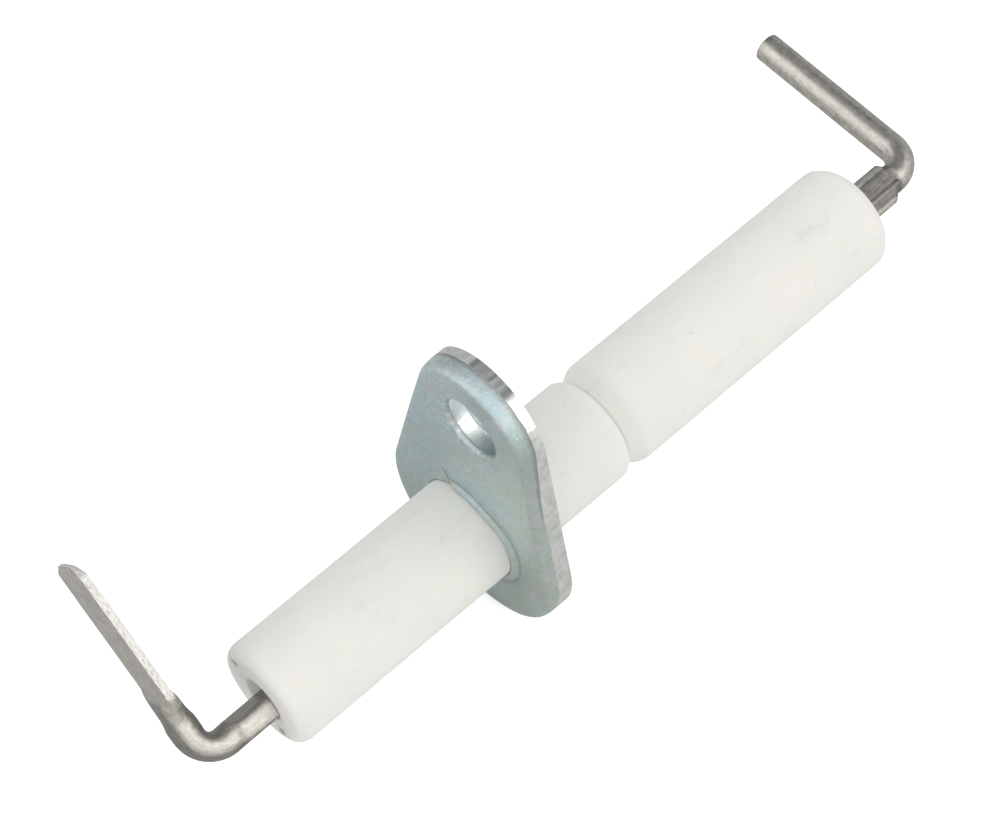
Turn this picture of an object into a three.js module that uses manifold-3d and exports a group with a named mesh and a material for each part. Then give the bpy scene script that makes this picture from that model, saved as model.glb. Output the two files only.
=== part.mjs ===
// Ignition electrode for a gas or oil burner, in millimetres.
// +X runs along the insulator towards the burner, and +Z from the insulator's axis to the fixing
// screw. The origin is on the flange's seating face, midway between those two axes.
import * as THREE from "three";
import ManifoldModule from "manifold-3d";

// Driving dimensions.
const rodDiameter = 3;
const tubeDiameter = 11;
const boreDiameter = 4.5;
const flangeThickness = 3;
const screwHoleDiameter = 6.4;
const screwHoleHeight = 18.2;
const tabWidth = 6.3;
const tabThickness = 0.8;

// Where things stand along X.
const terminalTubeEnd = -28.25;
const tubeJoint = 12.85;
const burnerTubeEnd = 47.65;
const terminalLegX = -35.65;
const burnerLegX = 55.95;

// Directions of the two bent legs, turned about X from +Y towards +Z.
const terminalLegAngle = THREE.MathUtils.degToRad(39);
const burnerLegAngle = THREE.MathUtils.degToRad(-1);

const rodRadius = rodDiameter / 2;
const tubeRadius = tubeDiameter / 2;
const burnerTubeRadius = tubeRadius + 0.1;
const roundSides = 56;

const wasm = await ManifoldModule();
wasm.setup();

// ---- shared helpers ---------------------------------------------------------------------

// A closed three.js geometry as a manifold solid, for joining and cutting.
function toSolid(geometry) {
  const source = geometry.index ? geometry.toNonIndexed() : geometry;
  const positions = source.getAttribute("position");
  const mesh = new wasm.Mesh({
    numProp: 3,
    vertProperties: new Float32Array(positions.array),
    triVerts: Uint32Array.from({ length: positions.count }, (_, corner) => corner),
  });
  mesh.merge();
  return new wasm.Manifold(mesh);
}

// A manifold solid back as a three.js geometry.
function toGeometry(solid) {
  const { vertProperties, triVerts } = solid.getMesh();
  const geometry = new THREE.BufferGeometry();
  geometry.setAttribute("position", new THREE.BufferAttribute(vertProperties, 3));
  geometry.setIndex(new THREE.BufferAttribute(triVerts, 1));
  return geometry;
}

// One named sub-part with a material of its own, drawn with flat facets.
function subPart(name, geometry, look) {
  const faceted = geometry.index ? geometry.toNonIndexed() : geometry;
  faceted.computeVertexNormals();
  const mesh = new THREE.Mesh(faceted, new THREE.MeshStandardMaterial(look));
  mesh.name = name;
  return mesh;
}

// A profile of [radius, x] corners turned about the X axis.
function turned(corners) {
  const profile = corners.map(([radius, x]) => new THREE.Vector2(radius, x));
  return new THREE.LatheGeometry(profile, roundSides).rotateZ(-Math.PI / 2);
}

// ---- insulator tubes --------------------------------------------------------------------

const terminalEdge = { along: 0.7, across: 0.6 };
const burnerEdge = { along: 1.1, across: 0.9 };
const shoulderEdge = { along: 1.7, across: 1 };
const jointEdge = { along: 0.7, across: 0.6 };

// A bored ceramic tube from x = start to x = end, each end's outer edge cut back.
function insulatorTube(radius, start, startEdge, end, endEdge) {
  const bore = boreDiameter / 2;
  return turned([
    [bore, start],
    [radius - startEdge.across, start],
    [radius, start + startEdge.along],
    [radius, end - endEdge.along],
    [radius - endEdge.across, end],
    [bore, end],
    [bore, start],
  ]);
}

function terminalSideInsulator() {
  const tube = insulatorTube(tubeRadius, terminalTubeEnd, terminalEdge, tubeJoint, jointEdge);
  return subPart("terminal_side_insulator", tube, { color: 0xe9e8e2, roughness: 0.85 });
}

function burnerSideInsulator() {
  const tube = insulatorTube(burnerTubeRadius, tubeJoint, shoulderEdge, burnerTubeEnd, burnerEdge);
  return subPart("burner_side_insulator", tube, { color: 0xecebe6, roughness: 0.85 });
}

// ---- mounting flange --------------------------------------------------------------------

const flangeBase = { radius: 10.6, height: -0.5 };
const flangeTip = { radius: 6.9, height: 18.3 };
const outerRoll = { width: 0.8, depth: 1.2 };
const holeRoll = 0.5;
const breakOut = { width: 0.25, depth: 0.7 };
const stakedCollar = { foot: 6.4, crest: 5.85, height: 0.35 };
const flangeToTube = 0.03;

// The egg-shaped outline: two arcs and the two lines that touch both.
function flangeOutline() {
  const rise = flangeTip.height - flangeBase.height;
  const lean = Math.asin((flangeBase.radius - flangeTip.radius) / rise);
  const outline = new THREE.Shape();
  outline.absarc(0, flangeTip.height, flangeTip.radius, lean, Math.PI - lean);
  outline.absarc(0, flangeBase.height, flangeBase.radius, Math.PI - lean, 2 * Math.PI + lean);
  return outline;
}

// The stamped blank: its edge is rolled over on the terminal side and square at the seat.
function flangeBlank() {
  const rolled = new THREE.ExtrudeGeometry(flangeOutline(), {
    depth: flangeThickness,
    bevelThickness: outerRoll.depth,
    bevelSize: outerRoll.width,
    bevelOffset: -outerRoll.width,
    bevelSegments: 4,
    curveSegments: 30,
  });
  const flangeAxes = new THREE.Matrix4().makeBasis(
    new THREE.Vector3(0, 1, 0),
    new THREE.Vector3(0, 0, 1),
    new THREE.Vector3(1, 0, 0),
  );
  rolled.applyMatrix4(flangeAxes).translate(outerRoll.depth - flangeThickness, 0, 0);
  const behindSeat = new THREE.BoxGeometry(10, 80, 80).translate(5, 0, 0);
  return toSolid(rolled).subtract(toSolid(behindSeat));
}

// A punched hole: its edge is rolled over on the terminal side and breaks out wider at the seat.
function flangeHole(radius, height) {
  const front = -flangeThickness;
  const rollSteps = [0, 1, 2, 3, 4].map((step) => (step / 4) * (Math.PI / 2));
  const hole = turned([
    [0, front - 1],
    [radius + holeRoll, front - 1],
    ...rollSteps.map((turn) => [
      radius + holeRoll * (1 - Math.sin(turn)),
      front + holeRoll * (1 - Math.cos(turn)),
    ]),
    [radius, -breakOut.depth],
    [radius + breakOut.width, 0],
    [radius + breakOut.width, 1],
    [0, 1],
  ]);
  return toSolid(hole.translate(0, 0, height));
}

// The low collar pressed up round the insulator, which closes the plate on the tube.
function collarBlank() {
  const front = -flangeThickness;
  const { foot, crest, height } = stakedCollar;
  return toSolid(turned([
    [0, front - height],
    [crest, front - height],
    [foot, front],
    [foot, front + 1],
    [0, front + 1],
  ]));
}

function mountingFlange() {
  const tubeHole = turned([
    [0, -flangeThickness - 1],
    [tubeRadius + flangeToTube, -flangeThickness - 1],
    [tubeRadius + flangeToTube, 1],
    [0, 1],
  ]);
  const plate = flangeBlank()
    .add(collarBlank())
    .subtract(toSolid(tubeHole))
    .subtract(flangeHole(screwHoleDiameter / 2, screwHoleHeight));
  const look = { color: 0xa9b4b6, roughness: 0.35, metalness: 1 };
  return subPart("mounting_flange", toGeometry(plate), look);
}

// ---- electrode rod ----------------------------------------------------------------------

const bendRadius = { terminal: 2.8, burner: 2.6 };
const tabTip = 21.5;
const tabRoot = 7.4;
const roundFrom = 4.6;
const tabCorner = 1.2;
const sparkTip = 19.8;
const runAngle = THREE.MathUtils.degToRad(204);
const runOffset = { terminal: 0.68, burner: 0.2 };
const pinchLength = { terminal: 4.2, burner: 5.6 };
const pinchRamp = 0.9;
const faceGap = 0.05;

// Cross-sections: half-sizes along the side and up directions, and the corner radius. A fin is
// the metal squeezed out at each corner, and twist turns the section about the rod's own line.
const round = { side: rodRadius, up: rodRadius, corner: rodRadius, fin: 0, twist: 0 };
const tab = { ...round, side: tabWidth / 2, up: tabThickness / 2, corner: 0.08 };
const tabEnd = { ...tab, side: tabWidth / 2 - tabCorner };
const terminalPinch = { ...round, side: 1.95, up: 1.05, corner: 0.45 };
const cutEnd = { ...round, side: rodRadius - 0.15, up: rodRadius - 0.15, corner: rodRadius - 0.15 };

// Four jaws leave a square with a fin at each corner, in line with the tab.
const burnerPinch = {
  side: 1.2,
  up: 1.2,
  corner: 0.45,
  fin: 0.65,
  twist: terminalLegAngle - burnerLegAngle - Math.PI / 4,
};

// The section a share of the way from one section to another.
function between(first, second, share) {
  const mix = THREE.MathUtils.lerp;
  return {
    side: mix(first.side, second.side, share),
    up: mix(first.up, second.up, share),
    corner: mix(first.corner, second.corner, share),
    fin: mix(first.fin, second.fin, share),
    twist: mix(first.twist, second.twist, share),
  };
}

// The ring of points of one section, drawn round its centre.
function sectionRing({ centre, along, side, section }) {
  const cornerSteps = 12;
  const across = side.clone().applyAxisAngle(along, section.twist);
  const up = new THREE.Vector3().crossVectors(along, across);
  const ring = [];
  for (let point = 0; point < 4 * cornerSteps; point += 1) {
    const turn = ((point + 0.5) / (4 * cornerSteps)) * 2 * Math.PI;
    const cornerSide = Math.sign(Math.cos(turn)) * (section.side - section.corner);
    const cornerUp = Math.sign(Math.sin(turn)) * (section.up - section.corner);
    const reach = section.corner + section.fin * Math.sin(2 * turn) ** 8;
    ring.push(
      centre
        .clone()
        .addScaledVector(across, cornerSide + reach * Math.cos(turn))
        .addScaledVector(up, cornerUp + reach * Math.sin(turn)),
    );
  }
  return ring;
}

// A closed skin over a row of sections, capped flat at both ends.
function skinOver(stations) {
  const rings = stations.map(sectionRing);
  const sides = rings[0].length;
  const corners = [];
  for (let row = 0; row + 1 < rings.length; row += 1) {
    for (let point = 0; point < sides; point += 1) {
      const next = (point + 1) % sides;
      const [low, high] = [rings[row], rings[row + 1]];
      corners.push(low[point], low[next], high[next], low[point], high[next], high[point]);
    }
  }
  const [first, last] = [rings[0], rings[rings.length - 1]];
  for (let point = 1; point + 1 < sides; point += 1) {
    corners.push(first[0], first[point + 1], first[point]);
    corners.push(last[0], last[point], last[point + 1]);
  }
  return new THREE.BufferGeometry().setFromPoints(corners);
}

// Unit vector square to X, turned from +Y towards +Z.
function acrossAxis(angle) {
  return new THREE.Vector3(0, Math.cos(angle), Math.sin(angle));
}

// The rod's centre at x, where it lies off the insulator's axis inside the bore.
function runCentre(x) {
  const share = (x - terminalTubeEnd) / (burnerTubeEnd - terminalTubeEnd);
  const offset = THREE.MathUtils.lerp(runOffset.terminal, runOffset.burner, share);
  return acrossAxis(runAngle).multiplyScalar(offset).setX(x);
}

// Stations round a bend, from the direction it enters by to the one it leaves by.
function bendStations(corner, enter, leave, radius, side) {
  const steps = 8;
  const centre = corner.clone().addScaledVector(enter, -radius).addScaledVector(leave, radius);
  return Array.from({ length: steps + 1 }, (_, step) => {
    const turn = (step / steps) * (Math.PI / 2);
    const along = enter.clone().multiplyScalar(Math.cos(turn)).addScaledVector(leave, Math.sin(turn));
    const spoke = enter.clone().multiplyScalar(Math.sin(turn)).addScaledVector(leave, -Math.cos(turn));
    return { centre: centre.clone().addScaledVector(spoke, radius), along, side, section: round };
  });
}

// The bent-up end pressed into a push-on tab, from its tip down to the bend.
function tabStations(corner, leg, side) {
  const along = leg.clone().negate();
  const at = (distance, section) => ({
    centre: corner.clone().addScaledVector(leg, distance),
    along,
    side,
    section,
  });
  const ramp = [0, 0.25, 0.5, 0.75, 1].map((share) => {
    const eased = THREE.MathUtils.smoothstep(share, 0, 1);
    return at(THREE.MathUtils.lerp(tabRoot, roundFrom, share), between(tab, round, eased));
  });
  return [at(tabTip, tabEnd), at(tabTip - tabCorner, tab), ...ramp];
}

// The run through the insulator, pinched flat just outside each of its ends.
function runStations(fromSideAngle, toSideAngle) {
  const pinchedFrom = terminalTubeEnd - faceGap;
  const pinchedTo = burnerTubeEnd + faceGap;
  const shoulder = faceGap / 2;
  const at = (x, section) => {
    const share = THREE.MathUtils.clamp(
      (x - terminalTubeEnd) / (burnerTubeEnd - terminalTubeEnd), 0, 1);
    const side = acrossAxis(THREE.MathUtils.lerp(fromSideAngle, toSideAngle, share));
    return { centre: runCentre(x), along: new THREE.Vector3(1, 0, 0), side, section };
  };
  const insideSteps = 8;
  const inside = Array.from({ length: insideSteps + 1 }, (_, step) => at(
    THREE.MathUtils.lerp(pinchedFrom + shoulder, pinchedTo - shoulder, step / insideSteps), round));
  return [
    at(pinchedFrom - pinchLength.terminal, round),
    at(pinchedFrom - pinchLength.terminal + pinchRamp, terminalPinch),
    at(pinchedFrom, terminalPinch),
    ...inside,
    at(pinchedTo, burnerPinch),
    at(pinchedTo + pinchLength.burner - pinchRamp, burnerPinch),
    at(pinchedTo + pinchLength.burner, round),
  ];
}

function electrodeRod() {
  const forward = new THREE.Vector3(1, 0, 0);
  const terminalLeg = acrossAxis(terminalLegAngle);
  const downLeg = terminalLeg.clone().negate();
  const burnerLeg = acrossAxis(burnerLegAngle);
  const terminalSideAngle = terminalLegAngle + Math.PI / 2;
  const burnerSideAngle = burnerLegAngle + Math.PI / 2;
  const terminalSide = acrossAxis(terminalSideAngle);
  const burnerSide = acrossAxis(burnerSideAngle);
  const terminalCorner = runCentre(terminalLegX);
  const burnerCorner = runCentre(burnerLegX);
  const sparkEnd = [[sparkTip - 0.15, round], [sparkTip, cutEnd]].map(([distance, section]) => ({
    centre: burnerCorner.clone().addScaledVector(burnerLeg, distance),
    along: burnerLeg,
    side: burnerSide,
    section,
  }));
  const skin = skinOver([
    ...tabStations(terminalCorner, terminalLeg, terminalSide),
    ...bendStations(terminalCorner, downLeg, forward, bendRadius.terminal, terminalSide),
    ...runStations(terminalSideAngle, burnerSideAngle),
    ...bendStations(burnerCorner, forward, burnerLeg, bendRadius.burner, burnerSide),
    ...sparkEnd,
  ]);
  return subPart("electrode_rod", skin, { color: 0x8f8b84, roughness: 0.45, metalness: 1 });
}

// ---- assembly ---------------------------------------------------------------------------

const electrode = new THREE.Group();
electrode.name = "ignition_electrode";
electrode.add(electrodeRod());
electrode.add(terminalSideInsulator());
electrode.add(burnerSideInsulator());
electrode.add(mountingFlange());

// The pieces are drawn about the insulator's axis, and moved to the origin named at the top.
electrode.position.z = -screwHoleHeight / 2;

export default electrode;
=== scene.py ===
"""Looks of the ignition electrode: rod, two ceramic tubes and a plated flange, in the CAD frame.

Shapes are worked out in millimetres about the insulator's axis, in the CAD's own directions: X
along the insulator towards the burner, Z towards the flange's screw hole. mesh_piece() moves
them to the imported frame, in metres.
"""

from math import asin, atan2, ceil, cos, hypot, pi, radians, sin, sqrt

import bmesh
import bpy
from mathutils import Matrix, Vector, noise
from mathutils.geometry import delaunay_2d_cdt


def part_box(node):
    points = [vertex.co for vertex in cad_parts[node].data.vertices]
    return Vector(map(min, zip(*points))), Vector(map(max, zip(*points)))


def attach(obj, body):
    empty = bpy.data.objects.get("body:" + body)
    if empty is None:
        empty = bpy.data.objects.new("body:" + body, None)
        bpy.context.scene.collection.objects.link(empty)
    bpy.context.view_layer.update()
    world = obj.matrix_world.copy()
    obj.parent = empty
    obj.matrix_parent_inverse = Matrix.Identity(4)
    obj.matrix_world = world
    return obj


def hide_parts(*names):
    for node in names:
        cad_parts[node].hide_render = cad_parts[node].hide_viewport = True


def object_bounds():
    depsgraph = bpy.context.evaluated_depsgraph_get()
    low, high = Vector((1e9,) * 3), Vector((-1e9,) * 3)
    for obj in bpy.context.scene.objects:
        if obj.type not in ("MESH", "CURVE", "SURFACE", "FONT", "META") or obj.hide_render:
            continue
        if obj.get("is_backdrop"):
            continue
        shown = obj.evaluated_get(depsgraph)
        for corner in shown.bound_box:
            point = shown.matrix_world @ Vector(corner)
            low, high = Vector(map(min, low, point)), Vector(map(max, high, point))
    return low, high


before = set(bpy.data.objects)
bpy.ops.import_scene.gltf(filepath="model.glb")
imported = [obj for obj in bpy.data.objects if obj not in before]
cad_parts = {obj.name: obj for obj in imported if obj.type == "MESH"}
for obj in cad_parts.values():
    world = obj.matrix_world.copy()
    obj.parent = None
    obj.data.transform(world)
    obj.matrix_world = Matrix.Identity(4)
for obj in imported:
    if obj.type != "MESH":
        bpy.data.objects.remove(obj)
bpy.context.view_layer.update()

MM = 0.001

# ---- where the CAD pieces stand ------------------------------------------------------------

terminal_low, terminal_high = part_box("terminal_side_insulator")
burner_low, burner_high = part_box("burner_side_insulator")
flange_low, flange_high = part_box("mounting_flange")

AXIS = Vector((0, (terminal_low.y + terminal_high.y) / 2, (terminal_low.z + terminal_high.z) / 2))
TERMINAL_END = terminal_low.x / MM
JOINT = burner_low.x / MM
BURNER_END = burner_high.x / MM
TUBE_RADIUS = (terminal_high.z - terminal_low.z) / 2 / MM
BURNER_TUBE_RADIUS = (burner_high.z - burner_low.z) / 2 / MM
# The collar pressed up round the tube stands this far off the plate.
COLLAR_HEIGHT = 0.35
PLATE_THICKNESS = (flange_high.x - flange_low.x) / MM - COLLAR_HEIGHT


# ---- mesh helpers --------------------------------------------------------------------------

SHARP_ANGLE = radians(35)


def lerp(first, second, share):
    """The value a share of the way from first to second."""
    return first + (second - first) * share


def smooth(share):
    """The share held between 0 and 1, easing in and out."""
    share = min(max(share, 0), 1)
    return share * share * (3 - 2 * share)


def rough(x, y, z, seed=0):
    """Smooth noise between about -1 and 1, the same each run."""
    return noise.noise(Vector((x, y, z)) + Vector((seed * 7.3, seed * 3.1, seed * 5.7)))


def mesh_piece(name, points, faces, node, material, places, marks):
    """A smooth-shaded piece from points in mm about the axis, standing for a CAD node.

    Its material reads each point's place in mm and its three marks, which run from 0 to 1.
    """
    mesh = bpy.data.meshes.new(name)
    mesh.from_pydata([Vector(point) * MM + AXIS for point in points], [], faces)
    for label, values in (("place", places), ("mark", marks)):
        attribute = mesh.attributes.new(label, "FLOAT_VECTOR", "POINT")
        attribute.data.foreach_set("vector", [value for item in values for value in item])
    solid = bmesh.new()
    solid.from_mesh(mesh)
    bmesh.ops.recalc_face_normals(solid, faces=solid.faces)
    solid.to_mesh(mesh)
    solid.free()
    mesh.shade_smooth()
    mesh.set_sharp_from_angle(angle=SHARP_ANGLE)
    piece = bpy.data.objects.new(name, mesh)
    bpy.context.scene.collection.objects.link(piece)
    mesh.materials.append(material)
    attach(piece, "root")
    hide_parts(node)


def bridge(first, second):
    """Faces between two equal closed rows of point numbers."""
    count = len(first)
    return [
        (first[i], first[(i + 1) % count], second[(i + 1) % count], second[i])
        for i in range(count)
    ]


# ---- materials -----------------------------------------------------------------------------


class Nodes:
    """A short way to write a material's node tree."""

    def __init__(self, name):
        self.material = bpy.data.materials.new(name)
        self.material.use_nodes = True
        self.tree = self.material.node_tree
        self.shader = self.tree.nodes["Principled BSDF"]

    def put(self, socket, value):
        """Link another node's output to the socket, or set its plain value."""
        if isinstance(value, bpy.types.NodeSocket):
            self.tree.links.new(value, socket)
        else:
            socket.default_value = value

    def node(self, kind, settings=None, **inputs):
        made = self.tree.nodes.new(kind)
        for key, value in (settings or {}).items():
            setattr(made, key, value)
        for key, value in inputs.items():
            self.put(made.inputs[key.replace("_", " ")], value)
        return made

    def math(self, operation, first, second, clamp=False):
        made = self.tree.nodes.new("ShaderNodeMath")
        made.operation = operation
        made.use_clamp = clamp
        self.put(made.inputs[0], first)
        self.put(made.inputs[1], second)
        return made.outputs[0]

    def times(self, first, second):
        return self.math("MULTIPLY", first, second)

    def plus(self, first, second):
        return self.math("ADD", first, second)

    def minus(self, first, second):
        return self.math("SUBTRACT", first, second)

    def scaled(self, vector, factors):
        """The vector with each of its directions scaled by its own factor."""
        made = self.node("ShaderNodeVectorMath", {"operation": "MULTIPLY"})
        self.put(made.inputs[0], vector)
        self.put(made.inputs[1], factors)
        return made.outputs[0]

    def noise(self, vector, scale, detail=4.0, roughness=0.55):
        made = self.node("ShaderNodeTexNoise", Vector=vector, Scale=scale, Detail=detail,
                         Roughness=roughness)
        return made.outputs["Fac"]

    def step(self, value, low, high):
        """0 below low and 1 above high, smooth between."""
        made = self.node("ShaderNodeMapRange", {"interpolation_type": "SMOOTHSTEP"}, Value=value)
        self.put(made.inputs["From Min"], low)
        self.put(made.inputs["From Max"], high)
        return made.outputs[0]

    def spread(self, value, low, high):
        """A noise value of about 0.3 to 0.7 stretched to run from low to high."""
        made = self.node("ShaderNodeMapRange", Value=value)
        made.inputs["From Min"].default_value = 0.3
        made.inputs["From Max"].default_value = 0.7
        made.inputs["To Min"].default_value = low
        made.inputs["To Max"].default_value = high
        return made.outputs[0]

    def mix(self, share, first, second):
        """A mix of two colours, which a mix node keeps in inputs 6 and 7 and output 2."""
        made = self.node("ShaderNodeMix", {"data_type": "RGBA"})
        self.put(made.inputs["Factor"], share)
        self.put(made.inputs[6], first)
        self.put(made.inputs[7], second)
        return made.outputs[2]

    def tinted(self, share, base, tint):
        """The base mixed by a share with a darker or lighter tint."""
        return self.mix(share, base, colour(*tint))

    def bump(self, height, distance, strength):
        made = self.node("ShaderNodeBump", Strength=strength, Distance=distance, Height=height)
        return made.outputs[0]

    def finish(self, **inputs):
        """Set the shader's inputs and give the material."""
        for key, value in inputs.items():
            self.put(self.shader.inputs[key.replace("_", " ")], value)
        return self.material

    def place(self):
        """Where the shaded point lies, in mm: fixed to the piece, so its grain rides with it."""
        return self.node("ShaderNodeAttribute", {"attribute_name": "place"}).outputs["Vector"]

    def marks(self):
        """The shaded point's three marks, each from 0 to 1."""
        made = self.node("ShaderNodeAttribute", {"attribute_name": "mark"})
        return self.node("ShaderNodeSeparateXYZ", Vector=made.outputs["Vector"]).outputs


def colour(red, green, blue):
    return (red, green, blue, 1.0)


def ceramic_material(name, warm, cool):
    """Unglazed, slightly dusty alumina: specks, rubbed grey smudges and small dark pits.

    Its marks are a chip's dark floor, a rubbed smudge, and the bore, which is given a faint painted
    glow.
    """
    n = Nodes(name)
    place = n.place()
    pit, rubbed, bore = n.marks()
    cloud = n.noise(place, 0.16, 5.0)
    base = n.mix(n.spread(cloud, 0.0, 1.0), warm, cool)
    smudge = n.step(n.noise(n.scaled(place, (0.5, 1.0, 1.0)), 0.55, 6.0, 0.62), 0.54, 0.76)
    base = n.tinted(n.times(smudge, 0.17), base, (0.5, 0.5, 0.47))
    dots = n.node("ShaderNodeTexVoronoi", Vector=place, Scale=0.55)
    dot = n.step(dots.outputs["Distance"], 0.09, 0.03)
    sparse = n.step(n.noise(place, 0.35, 1.0), 0.5, 0.58)
    dot = n.times(dot, sparse)
    base = n.tinted(n.times(dot, 0.35), base, (0.42, 0.4, 0.36))
    patchy = n.step(n.noise(place, 1.4, 5.0, 0.7), 0.42, 0.62)
    base = n.tinted(n.times(n.times(rubbed, patchy), 0.5), base, (0.45, 0.45, 0.42))
    base = n.tinted(n.times(pit, 0.8), base, (0.22, 0.22, 0.2))
    grain = n.noise(place, 9.0, 3.0)
    wave = n.noise(place, 1.1, 3.0)
    height = n.plus(n.times(grain, 0.35), wave)
    height = n.minus(height, n.times(dot, 0.8))
    return n.finish(
        Base_Color=base,
        Roughness=n.spread(n.noise(place, 0.8, 4.0), 0.62, 0.82),
        Specular_IOR_Level=0.35,
        Subsurface_Weight=0.3,
        Subsurface_Radius=(1.0, 0.95, 0.85),
        Subsurface_Scale=0.0016,
        Emission_Color=colour(1.0, 0.98, 0.93),
        # Painted glow: the bore's mark makes it shine faintly, to lighten the hole.
        Emission_Strength=n.times(bore, 0.1),
        Normal=n.bump(height, 0.00003, 0.6),
    )


def rod_material():
    """Drawn heat-resistant wire: streaks along the wire, scuffs and fine pitting.

    Its marks are the tab's sheared edge, painted shade, and painted highlights.
    """
    n = Nodes("rod_wire")
    place = n.place()
    edge, dirt_and_painted_shade, burnish_and_painted_highlight = n.marks()
    streak = n.noise(n.scaled(place, (0.3, 3.2, 3.2)), 1.6, 5.0, 0.6)
    blotch = n.noise(n.scaled(place, (0.9, 1.0, 1.0)), 1.5, 7.0, 0.75)
    scratch = n.noise(n.scaled(place, (3.4, 0.6, 0.6)), 2.4, 3.0, 0.7)
    tone = n.plus(n.times(streak, 0.35), n.times(blotch, 0.65))
    base = n.mix(n.spread(tone, -0.2, 1.2), colour(0.33, 0.32, 0.305), colour(0.74, 0.705, 0.65))
    scuff = n.step(scratch, 0.56, 0.7)
    base = n.tinted(n.times(scuff, 0.5), base, (0.84, 0.8, 0.73))
    pore = n.step(n.noise(place, 5.0, 4.0, 0.7), 0.56, 0.68)
    base = n.tinted(n.times(pore, 0.4), base, (0.25, 0.24, 0.23))
    torn = n.noise(n.scaled(place, (1.0, 1.0, 3.0)), 2.2, 6.0, 0.75)
    sheared = n.mix(n.spread(torn, 0.2, 1.45), colour(0.52, 0.44, 0.34), colour(1.0, 0.99, 0.95))
    ragged = n.plus(edge, n.spread(n.noise(place, 3.0, 4.0, 0.7), -0.45, 0.35))
    base = n.mix(n.step(ragged, 0.3, 0.6), base, sheared)
    # Painted shade: the pinch's hollows and a dark band along the wire.
    base = n.tinted(n.times(dirt_and_painted_shade, 0.75), base, (0.1, 0.1, 0.095))
    # Painted highlights: one fin of the pinch and a bright band along the wire.
    base = n.tinted(n.times(burnish_and_painted_highlight, 0.8), base, (0.96, 0.92, 0.81))
    worn = n.plus(n.times(blotch, 0.6), n.times(scratch, 0.4))
    height = n.plus(n.times(streak, 0.8), n.times(scratch, 0.6))
    height = n.plus(height, n.times(blotch, 0.9))
    height = n.plus(height, n.times(n.times(torn, edge), 1.5))
    return n.finish(
        Base_Color=base,
        Metallic=1.0,
        Roughness=n.spread(worn, 0.26, 0.42),
        Normal=n.bump(height, 0.0001, 0.75),
    )


def flange_material():
    """Zinc plate with a clear-blue passivate, rolled and sheared edges and handling marks.

    Its marks are the sheared wall, dirt and painted shade in the seams, gaps and hollows, and
    burnished metal with painted highlights.
    """
    n = Nodes("flange_zinc")
    place = n.place()
    wall, dirt_and_painted_shade, burnish_and_painted_highlight = n.marks()
    where = n.node("ShaderNodeSeparateXYZ", Vector=place)
    across = n.step(where.outputs["Y"], -9.0, 8.0)
    cloud = n.noise(place, 0.22, 4.0, 0.6)
    hue = n.math("ADD", n.times(across, 0.5), n.spread(cloud, -0.5, 1.0), clamp=True)
    base = n.mix(hue, colour(0.6, 0.69, 0.63), colour(0.6, 0.76, 0.83))
    # Painted light on the plate's upper left and painted shade on its upper right.
    upper = n.step(where.outputs["Z"], 10.0, 24.0)
    left = n.step(where.outputs["Y"], -4.0, 3.0)
    painted_light_upper_left = n.times(upper, left)
    painted_shade_upper_right = n.minus(upper, painted_light_upper_left)
    base = n.tinted(n.times(painted_light_upper_left, 0.45), base, (0.8, 0.92, 0.93))
    base = n.tinted(n.times(painted_shade_upper_right, 0.4), base, (0.28, 0.4, 0.42))
    blush = n.step(n.noise(place, 0.42, 4.0, 0.6), 0.52, 0.68)
    base = n.tinted(n.times(blush, 0.5), base, (0.77, 0.7, 0.73))
    mottle = n.noise(place, 1.7, 7.0, 0.8)
    blot = n.step(mottle, 0.42, 0.62)
    base = n.tinted(n.times(blot, 0.6), base, (0.45, 0.52, 0.53))
    spot = n.noise(place, 3.4, 6.0, 0.75)
    base = n.tinted(n.times(n.step(spot, 0.52, 0.66), 0.5), base, (0.88, 0.94, 0.93))
    fleck = n.step(n.noise(place, 2.6, 5.0, 0.7), 0.43, 0.34)
    base = n.tinted(n.times(fleck, 0.45), base, (0.3, 0.35, 0.36))
    comb = n.noise(n.scaled(place, (0.3, 2.6, 2.6)), 1.3, 6.0, 0.8)
    patch = n.noise(place, 1.2, 4.0, 0.65)
    cut = n.plus(n.times(comb, 0.4), n.times(patch, 0.6))
    sheared = n.mix(n.spread(cut, -0.3, 1.3), colour(0.66, 0.69, 0.66), colour(1.0, 1.0, 0.97))
    base = n.mix(n.times(wall, 0.9), base, sheared)
    # Burnished metal, and painted highlights on the collar's crest, the screw hole's rim and one
    # side of its wall.
    base = n.tinted(n.times(burnish_and_painted_highlight, 0.85), base, (0.95, 1.0, 1.0))
    # Dirt, and painted shade in the seams, the collar's foot, the gap round the tube and the screw
    # hole.
    base = n.tinted(n.times(dirt_and_painted_shade, 0.8), base, (0.13, 0.14, 0.14))
    fine = n.noise(place, 6.0, 4.0, 0.6)
    dull = n.spread(n.noise(place, 1.1, 5.0, 0.65), 0.27, 0.42)
    height = n.plus(n.times(fine, 0.5), n.times(mottle, 1.4))
    height = n.plus(height, n.times(n.times(comb, wall), 2.0))
    height = n.times(height, n.minus(1.0, n.times(burnish_and_painted_highlight, 0.8)))
    return n.finish(
        Base_Color=base,
        Metallic=1.0,
        Roughness=n.minus(dull, n.times(burnish_and_painted_highlight, 0.12)),
        Normal=n.bump(height, 0.00009, 0.75),
    )


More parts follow.
